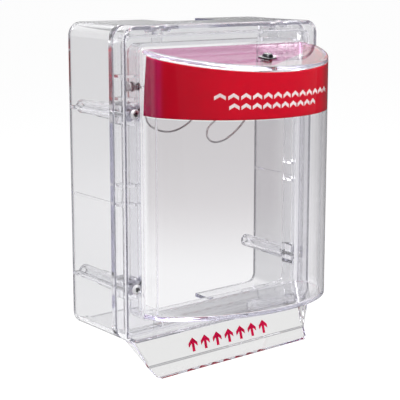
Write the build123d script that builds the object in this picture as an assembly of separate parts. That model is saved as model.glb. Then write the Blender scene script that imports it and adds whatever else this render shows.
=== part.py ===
from build123d import *
from math import hypot, pi, radians, sqrt, tan
import os

# A clear lift-up guard for a wall alarm station: a wall spacer, a fixed frame and a domed cover
# that hinges along the frame's top edge. It hangs on a wall. X runs to the right as the front is
# looked at, Z is up, and Y runs into the wall. The origin is the middle of the wall face, so every
# depth below is a distance out from the wall, towards -Y. All sizes are millimetres.

# Outline shared by the spacer's front, the frame and the cover's rim
WIDTH = 197.0
HEIGHT = 245.0
CORNER_R = 11.0
WALL = 3.2

# Depths of the stack, out from the wall. The frame sits on low seats at the screw posts, a hair
# clear of the spacer's front edge.
SPACER_DEPTH = 56.0
FRAME_REAR_DEPTH = 56.05
FRAME_BASE_DEPTH = 60.5
COVER_REAR_DEPTH = 61.0
FRAME_FACE_DEPTH = 70.0
COVER_FACE_DEPTH = 76.7
DOME_CORNER_DEPTH = 92.7
DOME_APEX_DEPTH = 152.7

# Spacer: a sleeve open front and back, a little wider at the wall
REAR_FLARE = 1.5
NOTCH_WIDTH = 54.0
NOTCH_DEPTH = 30.0
NOTCH_R = 6.0
POST_X = 86.0
POST_UPPER_Z = 56.0
POST_LOWER_Z = -80.0
POST_REAR_R = 5.4
POST_STEP_DEPTH = 26.0
POST_NECK_R = 6.0
POST_FRONT_R = 6.8
POST_WEB = 2.5
POST_WEB_REACH = 97.0
PILOT_R = 2.02
PILOT_LENGTH = 24.0
SEAT_R = 3.0
WALL_BORE_R = 2.5
SIDE_RIB_Z = -13.5
SIDE_RIB_HIGH = 1.4
SIDE_RIB_WIDE = 1.6
SIDE_RIB_START = 2.0

# Frame: a flat base with a hollow raised ring round the opening
RING_HALF_WIDTH = 94.5
RING_TOP_Z = 115.3
RING_BOTTOM_Z = -118.5
RING_CORNER_R = 8.0
RING_WALL = 2.6
RING_EDGE_R = 1.2
OPENING_HALF_WIDTH = 80.7
OPENING_TOP_Z = 106.0
OPENING_BOTTOM_Z = -104.5
OPENING_R = 5.5
BOSS_R = 8.85
FRAME_HOLE_R = 2.2
RING_RIB_X = 60.0
RING_RIB = 2.0
POCKET_HALF = 8.5
PAD_POCKET_HALF = 7.5

# Side pads on the ring that steady the closed cover
PAD_Z = -6.5
PAD_HIGH = 11.0
PAD_PROUD = 0.4
PAD_REAR_DEPTH = 63.0
PAD_FRONT_DEPTH = 68.0

# Hinge: two lugs on the frame carry round trunnions, and the cover snaps down over them
HINGE_DEPTH = 64.2
HINGE_Z = 119.3
HINGE_X = 60.0
TRUNNION_R = 2.0
TRUNNION_HALF = 8.6
LUG_WIDTH = 5.6
LUG_R = 2.9
SOCKET_R = 2.06
KNUCKLE_R = 3.1
KNUCKLE_INNER = 3.2
KNUCKLE_OUTER = 10.4
KNUCKLE_END = 1.0
SNAP_MOUTH = 3.3
LUG_SLOT_FRONT = 4.0

# Cover: rim, face and dome in one moulding
RIM_CAVITY_HALF_WIDTH = 95.1
RIM_CAVITY_HALF_HEIGHT = 119.1
RIM_ROUND = 3.0
DOME_HALF_WIDTH = 82.3
DOME_TOP_Z = 105.0
DOME_BOTTOM_Z = -103.4
DOME_TOP_FALL = 0.158
DOME_BOTTOM_RISE = 0.135
DOME_PLAN_R = 5.0
DOME_EDGE_R = 2.0
DOME_INNER_EDGE_R = 1.0
ROOT_R = 2.0

# Lift lip under the rim: a steep web, then a flatter tip, with a gusset at each end.
# Each stage is (half width, depth of its front surface, height)
LIP_ROOT = (92.8, 76.2, -120.0)
LIP_CREASE = (82.0, 82.5, -141.4)
LIP_TIP = (78.0, 90.5, -149.0)
LIP_THICK = 3.4
LIP_CORNER_R = 4.0
GUSSET_REAR_DEPTH = 62.5
GUSSET_THICK = 2.6
GUSSET_FOOT = 2.0

# Label band, stuck to the inside of the dome just under its cap
LABEL_THICK = 0.3
LABEL_TOP_GAP = 1.2
LABEL_BOTTOM_Z = 55.0
LABEL_END_TOP_DEPTH = 79.9
LABEL_END_BOTTOM_DEPTH = 74.6

# Frame screws
SCREW_R = 2.0
SCREW_LENGTH = 20.0
SCREW_HEAD_R = 4.0
SCREW_HEAD = 2.5

# Cable fastener through the dome's cap
FASTENER_DEPTH = 124.0
TOP_SCREW_R = 2.0
TOP_SCREW_LENGTH = 9.2
TOP_HEAD_R = 4.15
TOP_HEAD = 2.7
WASHER_SIDE = 10.8
WASHER_THICK = 1.0
WASHER_TURN = 19.0
TOP_NUT_FLATS = 7.0
TOP_NUT_THICK = 3.2

# Cable anchor through the left wall of the frame's opening
ANCHOR_DEPTH = 59.5
ANCHOR_Z = 76.0
ANCHOR_SCREW_R = 1.5
ANCHOR_SCREW_LENGTH = 6.8
ANCHOR_HEAD_R = 3.3
ANCHOR_HEAD = 2.2
ANCHOR_NUT_FLATS = 5.5
ANCHOR_NUT_THICK = 2.4

# Ring terminals at the cable's ends, each with its crimp barrel bent square to the ring
TERMINAL_R = 3.9
TERMINAL_THICK = 0.8
TONGUE_WIDTH = 2.8
BARREL_R = 1.5
BARREL_REACH = 6.0
BARREL_START = 2.0
BARREL_END = 8.4

# Thin steel cable from the anchor to the cap, in hand-set points (X, depth, Z)
CABLE_R = 0.75
ARC_SHARE = 0.45
CABLE_ROUTE = [
    (-72.3, 65.5, 76.0), (-67.6, 65.5, 76.0), (-63.4, 65.2, 73.8),
    (-61.2, 64.4, 69.6), (-61.3, 63.4, 64.8), (-64.6, 62.6, 59.6),
    (-68.3, 62.6, 53.2), (-68.3, 66.3, 46.6), (-64.6, 72.4, 42.4),
    (-59.4, 78.2, 41.1), (-53.4, 83.5, 43.2), (-47.0, 87.7, 48.2),
    (-41.4, 90.7, 54.8), (-36.8, 92.9, 62.2), (-32.4, 94.9, 69.6),
    (-26.6, 97.6, 75.6), (-19.8, 102.0, 77.6), (-14.8, 105.6, 73.0),
    (-15.6, 106.6, 65.6), (-20.6, 105.4, 59.4), (-27.0, 103.2, 54.6),
    (-33.8, 101.6, 50.0), (-40.6, 102.4, 45.2), (-45.2, 107.0, 40.0),
    (-45.4, 114.0, 36.0), (-40.4, 119.8, 37.2), (-33.6, 122.8, 42.0),
    (-26.4, 124.0, 48.2), (-19.2, 123.8, 55.4), (-12.4, 122.0, 63.2),
    (-5.8, 118.6, 70.8), (0.0, 115.01, 79.1), (0.0, 116.26, 87.0),
]

os.makedirs("parts", exist_ok=True)


def save(shape, name):
    """Writes one sub-part to its own file."""
    shape.label = name
    export_step(shape, f"parts/{name}.step")


def slab(half_width, top_z, bottom_z, corner, start, end):
    """A rounded rectangle facing the front, between two depths."""
    outline = RectangleRounded(2 * half_width, top_z - bottom_z, corner)
    return extrude(Plane.XZ.offset(start) * Pos(0, (top_z + bottom_z) / 2) * outline, end - start)


def block(x_range, depth_range, z_range):
    """A box between two values each of X, depth and Z."""
    spans = [sorted(x_range), sorted(-depth for depth in depth_range), sorted(z_range)]
    centre = Pos(*[(low + high) / 2 for low, high in spans])
    return centre * Box(*[high - low for low, high in spans])


def rod(x, z, radius, start, end):
    """A round bar along the depth."""
    return extrude(Plane.XZ.offset(start) * Pos(x, z) * Circle(radius), end - start)


def bar_x(start, end, depth, z, radius):
    """A round bar along X."""
    return extrude(Plane.YZ.offset(start) * Pos(-depth, z) * Circle(radius), end - start)


def side_prism(points, half_width):
    """A side profile, given as (depth, Z) points, carried across both halves."""
    outline = Polyline(*[(-half_width, -depth, z) for depth, z in points], close=True)
    return extrude(make_face(outline), 2 * half_width, dir=(1, 0, 0))


def post_places():
    """The four screw positions, left and right, upper and lower."""
    return [(side * POST_X, z) for side in (-1, 1) for z in (POST_UPPER_Z, POST_LOWER_Z)]


def sleeve(inset):
    """The spacer's outline drawn in by an inset, flaring a little towards the wall."""
    width = WIDTH - 2 * inset
    height = HEIGHT - 2 * inset
    corner = CORNER_R - inset
    rear = Plane.XZ * RectangleRounded(width + REAR_FLARE, height + REAR_FLARE, corner)
    front = Plane.XZ.offset(SPACER_DEPTH) * RectangleRounded(width, height, corner)
    return loft([rear.face(), front.face()])


def screw_post(x, z):
    """One stepped and tapered screw post with a low seat for the frame, webbed to the side wall."""
    side = 1 if x > 0 else -1
    taper_length = SPACER_DEPTH - POST_STEP_DEPTH
    taper_middle = (SPACER_DEPTH + POST_STEP_DEPTH) / 2
    post = rod(x, z, POST_REAR_R, 0, POST_STEP_DEPTH)
    post += Location((x, -taper_middle, z), (90, 0, 0)) * Cone(POST_NECK_R, POST_FRONT_R, taper_length)
    post += rod(x, z, SEAT_R, SPACER_DEPTH, FRAME_REAR_DEPTH)
    web_z = (z - POST_WEB / 2, z + POST_WEB / 2)
    return post + block((x, side * POST_WEB_REACH), (0, SPACER_DEPTH), web_z)


def wall_spacer():
    """The wall sleeve with its conduit notches, four screw posts and two side ribs."""
    body = sleeve(0) - sleeve(WALL)
    notch = Plane.XY.offset(-HEIGHT) * RectangleRounded(NOTCH_WIDTH, 2 * NOTCH_DEPTH, NOTCH_R)
    body -= extrude(notch, 2 * HEIGHT)
    for x, z in post_places():
        body += screw_post(x, z)
    rib_z = (SIDE_RIB_Z - SIDE_RIB_WIDE / 2, SIDE_RIB_Z + SIDE_RIB_WIDE / 2)
    for side in (-1, 1):
        rib_x = (side * (WIDTH / 2 - WALL - SIDE_RIB_HIGH), side * POST_WEB_REACH)
        body += block(rib_x, (SIDE_RIB_START, SPACER_DEPTH), rib_z)
    for x, z in post_places():
        body -= rod(x, z, WALL_BORE_R, 0, SPACER_DEPTH - PILOT_LENGTH)
        body -= rod(x, z, PILOT_R, 0, FRAME_REAR_DEPTH)
    return body


def ring_block(start, end, inset=0.0):
    """The raised ring's outline as a solid block."""
    half = RING_HALF_WIDTH - inset
    return slab(half, RING_TOP_Z - inset, RING_BOTTOM_Z + inset, RING_CORNER_R - inset, start, end)


def opening_block(start, end, grow=0.0):
    """The frame's opening as a solid block."""
    half = OPENING_HALF_WIDTH + grow
    return slab(half, OPENING_TOP_Z + grow, OPENING_BOTTOM_Z - grow, OPENING_R + grow, start, end)


def ring_stiffeners():
    """What stands inside the hollow ring: screw bosses, cross ribs and ribs beside the pads and anchor."""
    depths = (FRAME_REAR_DEPTH, FRAME_FACE_DEPTH - RING_WALL / 2)
    half_rib = RING_RIB / 2
    parts = [rod(x, z, BOSS_R, *depths) for x, z in post_places()]
    for x in (-RING_RIB_X, RING_RIB_X):
        parts.append(block((x - half_rib, x + half_rib), depths, (OPENING_TOP_Z + 1, RING_TOP_Z - 1)))
        parts.append(block((x - half_rib, x + half_rib), depths, (RING_BOTTOM_Z + 1, OPENING_BOTTOM_Z - 1)))
    pockets = [(-1, ANCHOR_Z, POCKET_HALF), (-1, PAD_Z, PAD_POCKET_HALF), (1, PAD_Z, PAD_POCKET_HALF)]
    for side, middle, half_pocket in pockets:
        pocket_x = (side * (RING_HALF_WIDTH - 1), side * (OPENING_HALF_WIDTH + 1))
        for z in (middle - half_pocket, middle + half_pocket):
            parts.append(block(pocket_x, depths, (z - half_rib, z + half_rib)))
    return Part() + parts


def hinge_lug(x):
    """One lug on the frame's top edge with its trunnion through it."""
    lug_x = (x - LUG_WIDTH / 2, x + LUG_WIDTH / 2)
    lug = bar_x(*lug_x, HINGE_DEPTH, HINGE_Z, LUG_R)
    lug += block(lug_x, (FRAME_BASE_DEPTH - 1, HINGE_DEPTH + LUG_R), (RING_TOP_Z - 1.5, HINGE_Z))
    return lug + bar_x(x - TRUNNION_HALF, x + TRUNNION_HALF, HINGE_DEPTH, HINGE_Z, TRUNNION_R)


def mounting_frame():
    """The fixed frame: base, hollow ring, bosses, ribs, hinge lugs and side pads."""
    half_height = HEIGHT / 2
    body = slab(WIDTH / 2, half_height, -half_height, CORNER_R, FRAME_REAR_DEPTH, FRAME_BASE_DEPTH)
    body += ring_block(FRAME_REAR_DEPTH, FRAME_FACE_DEPTH)
    body = fillet(body.faces().sort_by(Axis.Y)[0].edges(), RING_EDGE_R)
    channel = ring_block(FRAME_REAR_DEPTH, FRAME_FACE_DEPTH - RING_WALL, RING_WALL)
    channel -= opening_block(FRAME_REAR_DEPTH, FRAME_FACE_DEPTH - RING_WALL, RING_WALL)
    body -= channel - ring_stiffeners()
    body -= opening_block(FRAME_REAR_DEPTH, FRAME_FACE_DEPTH)
    for x, z in post_places():
        body -= rod(x, z, FRAME_HOLE_R, FRAME_REAR_DEPTH, FRAME_FACE_DEPTH)
    anchor_hole = (-OPENING_HALF_WIDTH - 2 * RING_WALL, -OPENING_HALF_WIDTH + 1)
    body -= bar_x(*anchor_hole, ANCHOR_DEPTH, ANCHOR_Z, ANCHOR_SCREW_R + 0.05)
    for side in (-1, 1):
        body += hinge_lug(side * HINGE_X)
        pad_x = (side * (RING_HALF_WIDTH - 1), side * (RING_HALF_WIDTH + PAD_PROUD))
        pad_z = (PAD_Z - PAD_HIGH / 2, PAD_Z + PAD_HIGH / 2)
        body += block(pad_x, (PAD_REAR_DEPTH, PAD_FRONT_DEPTH), pad_z)
    return body


def dome_plan(inset, root_depth):
    """The dome seen from above, drawn in by a wall: two straight sides and one wide arc."""
    arc_rise = DOME_APEX_DEPTH - DOME_CORNER_DEPTH
    arc_r = (DOME_HALF_WIDTH ** 2 + arc_rise ** 2) / (2 * arc_rise)
    centre_depth = DOME_APEX_DEPTH - arc_r
    half = DOME_HALF_WIDTH - inset
    corner_depth = centre_depth + sqrt((arc_r - inset) ** 2 - half ** 2)
    left = (-half, -corner_depth)
    right = (half, -corner_depth)
    outline = [
        Line((-half, -root_depth), left),
        ThreePointArc(left, (0, inset - DOME_APEX_DEPTH), right),
        Line(right, (half, -root_depth)),
        Line((half, -root_depth), (-half, -root_depth)),
    ]
    plan = make_face(outline)
    return fillet(plan.vertices().sort_by(Axis.Y)[0:2], DOME_PLAN_R - inset)


def cap_heights(depth, drop):
    """Heights of the sloping top and bottom caps at a depth, each moved inwards square to itself."""
    out = depth - COVER_FACE_DEPTH
    top = DOME_TOP_Z - DOME_TOP_FALL * out - drop * hypot(1, DOME_TOP_FALL)
    bottom = DOME_BOTTOM_Z + DOME_BOTTOM_RISE * out + drop * hypot(1, DOME_BOTTOM_RISE)
    return top, bottom


def dome_solid(inset, root_depth, edge_r):
    """The dome filled in, D-shaped in plan between its two sloping caps, with rounded rims."""
    column = extrude(Plane.XY.offset(-HEIGHT / 2) * dome_plan(inset, root_depth), HEIGHT)
    far = DOME_APEX_DEPTH + 10
    top_near, bottom_near = cap_heights(root_depth, inset)
    top_far, bottom_far = cap_heights(far, inset)
    caps = [(root_depth, top_near), (far, top_far), (far, bottom_far), (root_depth, bottom_near)]
    body = column & side_prism(caps, WIDTH / 2)
    return fillet([edge for edge in body.edges() if is_cap_rim(edge, root_depth)], edge_r)


def is_cap_rim(edge, root_depth):
    """True for the edges round a cap, but not along the root or up the dome's corners."""
    low = edge.bounding_box().min
    high = edge.bounding_box().max
    on_root = high.Y - low.Y < 0.01 and abs(high.Y + root_depth) < 0.01
    upright = high.Z - low.Z > HEIGHT / 2
    return not on_root and not upright


def is_dome_root(edge):
    """True for the edges where the dome leaves the cover's face."""
    low = edge.bounding_box().min
    high = edge.bounding_box().max
    on_face = max(abs(low.Y + COVER_FACE_DEPTH), abs(high.Y + COVER_FACE_DEPTH)) < 0.01
    near_middle = high.X < DOME_HALF_WIDTH + 5 and low.X > -DOME_HALF_WIDTH - 5
    return on_face and near_middle and max(abs(low.Z), abs(high.Z)) < HEIGHT / 2 - 10


def lip_outline(inset):
    """The lip seen from the front, as a block narrowing downwards, drawn in from its ends."""
    stages = [LIP_ROOT, LIP_CREASE, LIP_TIP]
    left = [(inset - half, z) for half, depth, z in stages]
    right = [(half - inset, z) for half, depth, z in reversed(stages)]
    face = make_face(Polyline(*left, *right, close=True))
    if inset == 0:
        face = fillet(face.vertices().sort_by(Axis.Y)[0:2], LIP_CORNER_R)
    return extrude(Plane.XZ.offset(SPACER_DEPTH) * face, DOME_APEX_DEPTH - SPACER_DEPTH)


def lift_lip():
    """The bent finger lip with its two end gussets."""
    front = [(depth, z) for half, depth, z in (LIP_ROOT, LIP_CREASE, LIP_TIP)]
    back = [(depth - LIP_THICK, z) for depth, z in reversed(front)]
    web = side_prism(front + back, WIDTH / 2) & lip_outline(0)
    root, crease = front[0], front[1]
    gusset_side = [(GUSSET_REAR_DEPTH, root[1]), root, crease, (crease[0] - GUSSET_FOOT, crease[1])]
    gussets = side_prism(gusset_side, WIDTH / 2) & (lip_outline(0) - lip_outline(GUSSET_THICK))
    return web + gussets


def hinge_knuckles():
    """Four short barrels under the rim's top wall, two round each trunnion."""
    ends = (-KNUCKLE_OUTER, -KNUCKLE_INNER), (KNUCKLE_INNER, KNUCKLE_OUTER)
    centres = (-HINGE_X, HINGE_X)
    return Part() + [bar_x(x + a, x + b, HINGE_DEPTH, HINGE_Z, KNUCKLE_R) for x in centres for a, b in ends]


def hinge_clearance(x):
    """What is cut for one trunnion: its socket, the snap mouth below it and the lug's slot."""
    reach = KNUCKLE_OUTER - KNUCKLE_END
    mouth_depths = (HINGE_DEPTH - SNAP_MOUTH / 2, HINGE_DEPTH + SNAP_MOUTH / 2)
    slot_depths = (COVER_REAR_DEPTH - 1, HINGE_DEPTH + LUG_SLOT_FRONT)
    socket = bar_x(x - reach, x + reach, HINGE_DEPTH, HINGE_Z, SOCKET_R)
    mouth = block((x - reach, x + reach), mouth_depths, (HINGE_Z - 2 * KNUCKLE_R, HINGE_Z))
    slot_x = (x - KNUCKLE_INNER, x + KNUCKLE_INNER)
    slot = block(slot_x, slot_depths, (HINGE_Z - 2 * KNUCKLE_R, HEIGHT / 2 + 1))
    return socket + mouth + slot


def cover_shell():
    """The moving cover in one clear moulding: rim, face, dome, hinge sockets and lift lip."""
    half_height = HEIGHT / 2
    rim = slab(WIDTH / 2, half_height, -half_height, CORNER_R, COVER_REAR_DEPTH, COVER_FACE_DEPTH)
    depth_groups = rim.edges().group_by(Axis.Y)
    rim = fillet(depth_groups[0] + depth_groups[-1], RIM_ROUND)
    body = rim + dome_solid(0, COVER_FACE_DEPTH - WALL / 2, DOME_EDGE_R)
    body = fillet([edge for edge in body.edges() if is_dome_root(edge)], ROOT_R)
    body += lift_lip()
    cavity_front = COVER_FACE_DEPTH - WALL
    cavity_r = CORNER_R - (WIDTH / 2 - RIM_CAVITY_HALF_WIDTH)
    cavity_z = (RIM_CAVITY_HALF_HEIGHT, -RIM_CAVITY_HALF_HEIGHT)
    body -= slab(RIM_CAVITY_HALF_WIDTH, *cavity_z, cavity_r, COVER_REAR_DEPTH, cavity_front)
    body -= dome_solid(WALL, cavity_front - 1, DOME_INNER_EDGE_R)
    body += hinge_knuckles()
    for side in (-1, 1):
        body -= hinge_clearance(side * HINGE_X)
    fastener_hole = extrude(cap_plane(WALL + 1) * Circle(TOP_SCREW_R + 0.05), 2 * WALL)
    return body - fastener_hole


def cap_plane(drop=0.0):
    """A plane square to the sloping top cap at the fastener, a drop below its outer surface."""
    height, _ = cap_heights(FASTENER_DEPTH, 0)
    plane = Plane(origin=(0, -FASTENER_DEPTH, height), x_dir=(1, 0, 0), z_dir=(0, -DOME_TOP_FALL, 1))
    return plane.offset(-drop)


def under_cap_plane():
    """The same plane on the cap's inner surface, facing down into the dome."""
    inner = cap_plane(WALL)
    return Plane(origin=inner.origin, x_dir=(1, 0, 0), z_dir=-inner.z_dir)


def label_band():
    """The band on the dome's inner wall: round the front and a little way down both sides."""
    root = LABEL_END_BOTTOM_DEPTH - 1
    band = dome_plan(WALL, root) - dome_plan(WALL + LABEL_THICK, root - 1)
    column = extrude(Plane.XY.offset(-HEIGHT / 2) * band, HEIGHT)
    far = DOME_APEX_DEPTH + 5
    drop = WALL + LABEL_TOP_GAP
    side = [
        (LABEL_END_BOTTOM_DEPTH, LABEL_BOTTOM_Z),
        (far, LABEL_BOTTOM_Z),
        (far, cap_heights(far, drop)[0]),
        (LABEL_END_TOP_DEPTH, cap_heights(LABEL_END_TOP_DEPTH, drop)[0]),
    ]
    return column & side_prism(side, WIDTH / 2)


def pan_screw(shank_r, length, head_r, head):
    """A cross-recess pan-head screw: seat at its own origin, head up, shank down."""
    cap = extrude(Circle(head_r), head)
    cap = fillet(cap.edges().filter_by(GeomType.CIRCLE).sort_by(Axis.Z)[-1], head * 0.6)
    shank = extrude(Plane.XY.offset(-length) * Circle(shank_r), length)
    shank = chamfer(shank.edges().filter_by(GeomType.CIRCLE).sort_by(Axis.Z)[0], shank_r * 0.35)
    recess = Rectangle(head_r * 0.25, head_r * 1.1) + Rectangle(head_r * 1.1, head_r * 0.25)
    return cap + shank - extrude(Plane.XY.offset(head * 0.35) * recess, head)


def hex_nut(flats, thick, bore_r):
    """A hexagon nut standing on its own origin."""
    return extrude(RegularPolygon(flats / 2, 6, major_radius=False) - Circle(bore_r), thick)


def ring_terminal(hole_r):
    """A ring on its own plane, whose tongue turns a right angle into the crimp barrel."""
    reach = BARREL_REACH + TERMINAL_THICK / 2
    flat = Circle(TERMINAL_R) + Pos(0, -reach / 2) * Rectangle(TONGUE_WIDTH, reach)
    flat = extrude(flat - Circle(hole_r), TERMINAL_THICK)
    bend_high = BARREL_START + 1
    bend = Pos(0, -BARREL_REACH, bend_high / 2) * Box(TONGUE_WIDTH, TERMINAL_THICK, bend_high)
    barrel_end = Plane.XY.offset(BARREL_START) * Pos(0, -BARREL_REACH) * Circle(BARREL_R)
    return flat + bend + extrude(barrel_end, BARREL_END - BARREL_START)


def corner_radii(points):
    """Each corner's radius: as large as its two runs leave room for."""
    radii = []
    for before, corner, after in zip(points, points[1:], points[2:]):
        arriving = corner - before
        leaving = after - corner
        half_turn = radians(arriving.get_angle(leaving)) / 2
        radii.append(ARC_SHARE * min(arriving.length, leaving.length) / tan(half_turn))
    return radii


def tether_cable():
    """The cable as straight runs joined by tangent arcs."""
    points = [Vector(x, -depth, z) for x, depth, z in CABLE_ROUTE]
    radii = corner_radii(points)
    path = FilletPolyline(*points, radius=radii)
    print("cable corner radii:", [round(radius, 1) for radius in radii])
    start = Plane(origin=path @ 0, z_dir=path % 0)
    tube = sweep(start * Circle(CABLE_R), path=path)
    section = pi * CABLE_R ** 2
    print(f"cable length {path.length:.1f} mm, volume share {tube.volume / (section * path.length):.4f}")
    return tube


def main():
    screw = pan_screw(SCREW_R, SCREW_LENGTH, SCREW_HEAD_R, SCREW_HEAD)
    screw_seat = Plane.XZ.offset(FRAME_FACE_DEPTH)
    washer = Rot(0, 0, WASHER_TURN) * Rectangle(WASHER_SIDE, WASHER_SIDE) - Circle(TOP_SCREW_R + 0.1)
    top_screw = pan_screw(TOP_SCREW_R, TOP_SCREW_LENGTH, TOP_HEAD_R, TOP_HEAD)
    anchor_centre = Vector(-OPENING_HALF_WIDTH, -ANCHOR_DEPTH, ANCHOR_Z)
    anchor_inner = Plane(origin=anchor_centre, x_dir=(0, 0, -1), z_dir=(1, 0, 0))
    anchor_outer = Plane(origin=anchor_centre - Vector(RING_WALL, 0, 0), x_dir=(0, 0, 1), z_dir=(-1, 0, 0))
    anchor_screw = pan_screw(ANCHOR_SCREW_R, ANCHOR_SCREW_LENGTH, ANCHOR_HEAD_R, ANCHOR_HEAD)
    anchor_nut = hex_nut(ANCHOR_NUT_FLATS, ANCHOR_NUT_THICK, ANCHOR_SCREW_R + 0.02)
    top_nut = hex_nut(TOP_NUT_FLATS, TOP_NUT_THICK, TOP_SCREW_R + 0.02)

    save(wall_spacer(), "wall_spacer")
    save(mounting_frame(), "mounting_frame")
    save(Compound([screw_seat * Pos(x, z) * screw for x, z in post_places()]), "frame_screws")
    save(cover_shell(), "cover_shell")
    save(label_band(), "label_band")
    save(cap_plane(-WASHER_THICK) * top_screw, "top_screw")
    save(cap_plane() * extrude(washer, WASHER_THICK), "square_washer")
    save(under_cap_plane() * ring_terminal(TOP_SCREW_R + 0.05), "cover_terminal")
    save(under_cap_plane().offset(TERMINAL_THICK) * top_nut, "top_nut")
    save(anchor_outer * anchor_screw, "anchor_screw")
    save(anchor_inner * ring_terminal(ANCHOR_SCREW_R + 0.05), "anchor_terminal")
    save(anchor_inner.offset(TERMINAL_THICK) * anchor_nut, "anchor_nut")
    save(tether_cable(), "tether_cable")


main()
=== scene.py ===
import math

import bpy
import numpy as np
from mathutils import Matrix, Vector


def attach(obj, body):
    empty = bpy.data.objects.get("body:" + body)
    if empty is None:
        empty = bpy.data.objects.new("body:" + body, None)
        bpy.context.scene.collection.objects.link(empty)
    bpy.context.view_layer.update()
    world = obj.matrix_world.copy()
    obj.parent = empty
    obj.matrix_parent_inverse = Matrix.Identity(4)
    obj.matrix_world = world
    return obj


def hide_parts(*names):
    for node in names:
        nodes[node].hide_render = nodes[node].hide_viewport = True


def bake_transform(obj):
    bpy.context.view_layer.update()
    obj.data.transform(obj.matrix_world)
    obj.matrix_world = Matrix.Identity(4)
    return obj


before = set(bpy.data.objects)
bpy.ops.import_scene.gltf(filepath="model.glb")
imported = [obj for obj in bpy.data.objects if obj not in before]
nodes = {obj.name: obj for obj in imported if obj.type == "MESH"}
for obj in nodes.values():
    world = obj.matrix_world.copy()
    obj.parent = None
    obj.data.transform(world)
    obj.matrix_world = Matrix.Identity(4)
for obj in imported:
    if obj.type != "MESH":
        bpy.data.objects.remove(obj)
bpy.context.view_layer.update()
scene = bpy.context.scene
mm = 0.001
print("stage: frame loaded")

# Places and sizes shared by several pieces, in metres; depth is a distance out from the wall
faceDepth = 0.0767
apexDepth = 0.1527
wall = 0.0032
domeHalf = 0.0823
cornerDepth = 0.0927
domeTop = 0.105
topFall = 0.158
fastenerDepth = 0.124
anchorPlace = np.array([-0.0807, -0.0595, 0.076])
frameFace = 0.070
postPlaces = [(side * 0.086, z) for side in (-1, 1) for z in (0.056, -0.080)]

# The camera, fitted to the photo
cameraSet = {
    "place": (-0.5462, -0.7387, 0.1576),
    "azimuth": -38.07,
    "pitch": 9.56,
    "lens": 97.61,
    "shift": -0.10,
}
cameraData = bpy.data.cameras.new("photoCamera")
cameraData.lens = cameraSet["lens"]
cameraData.sensor_width = 36
cameraData.shift_y = cameraSet["shift"]
cameraData.clip_start = 0.05
cameraData.clip_end = 60
camera = bpy.data.objects.new("photoCamera", cameraData)
scene.collection.objects.link(camera)
turn = math.radians(cameraSet["azimuth"])
tip = math.radians(cameraSet["pitch"])
backward = Vector((math.sin(turn) * math.cos(tip), -math.cos(turn) * math.cos(tip), math.sin(tip)))
camera.location = cameraSet["place"]
camera.rotation_mode = "QUATERNION"
camera.rotation_quaternion = (-backward).to_track_quat("-Z", "Y")
scene.camera = camera
print("stage: camera")


# Mesh helpers
def meshPiece(name, points, quads, triangles=(), smooth=True):
    # points is (n, 3), quads (m, 4) and triangles (k, 3); both kinds of face go in one mesh
    quads = np.asarray(quads, np.int32).reshape(-1, 4)
    triangles = np.asarray(triangles, np.int32).reshape(-1, 3)
    mesh = bpy.data.meshes.new(name)
    mesh.vertices.add(len(points))
    mesh.vertices.foreach_set("co", np.asarray(points, np.float32).ravel())
    corners = np.concatenate([quads.ravel(), triangles.ravel()])
    mesh.loops.add(len(corners))
    mesh.loops.foreach_set("vertex_index", corners)
    starts = np.concatenate([np.arange(len(quads)) * 4, len(quads) * 4 + np.arange(len(triangles)) * 3])
    mesh.polygons.add(len(starts))
    mesh.polygons.foreach_set("loop_start", starts.astype(np.int32))
    mesh.polygons.foreach_set("use_smooth", np.full(len(starts), smooth))
    mesh.update(calc_edges=True)
    mesh.validate()
    piece = bpy.data.objects.new(name, mesh)
    scene.collection.objects.link(piece)
    return piece


def ringFaces(rows, columns, offset=0, wrapRows=False):
    # quads of a grid whose columns close on themselves, rows counted along the sweep
    row, column = np.meshgrid(np.arange(rows if wrapRows else rows - 1), np.arange(columns), indexing="ij")
    nextRow = (row + 1) % rows
    nextColumn = (column + 1) % columns
    quads = np.stack([
        row * columns + column, row * columns + nextColumn,
        nextRow * columns + nextColumn, nextRow * columns + column,
    ], axis=-1)
    return quads.reshape(-1, 4) + offset


def fanFaces(ring, centre, flip):
    after = np.roll(ring, -1)
    middle = np.full(len(ring), centre)
    return np.stack([ring, after, middle] if flip else [after, ring, middle], axis=1)


def closedGrid(grid, offset=0):
    # a (rows, columns, 3) grid with both ends closed by a fan onto the mean of the end row
    rows, columns, _ = grid.shape
    ends = np.array([grid[0].mean(axis=0), grid[-1].mean(axis=0)])
    points = np.concatenate([grid.reshape(-1, 3), ends])
    quads = ringFaces(rows, columns, offset)
    count = rows * columns
    first = fanFaces(np.arange(columns) + offset, count + offset, False)
    last = fanFaces(np.arange(columns) + (rows - 1) * columns + offset, count + 1 + offset, True)
    return points, quads, np.concatenate([first, last])


def joinForms(forms):
    # several (points, quads, triangles) put in one set, each shifted past the one before
    points, quads, triangles, offset = [], [], [], 0
    for formPoints, formQuads, formTriangles in forms:
        points.append(formPoints)
        quads.append(np.asarray(formQuads).reshape(-1, 4) + offset)
        triangles.append(np.asarray(formTriangles).reshape(-1, 3) + offset)
        offset += len(formPoints)
    return np.concatenate(points), np.concatenate(quads), np.concatenate(triangles)


def placed(form, origin, xAxis, zAxis):
    # turns a form's own x and z onto two axes of the frame and moves it to an origin
    zAxis = np.asarray(zAxis, float) / np.linalg.norm(zAxis)
    xAxis = np.asarray(xAxis, float)
    xAxis = xAxis - zAxis * (xAxis @ zAxis)
    xAxis /= np.linalg.norm(xAxis)
    yAxis = np.cross(zAxis, xAxis)
    points, quads, triangles = form
    return points @ np.stack([xAxis, yAxis, zAxis]) + np.asarray(origin), quads, triangles


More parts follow.
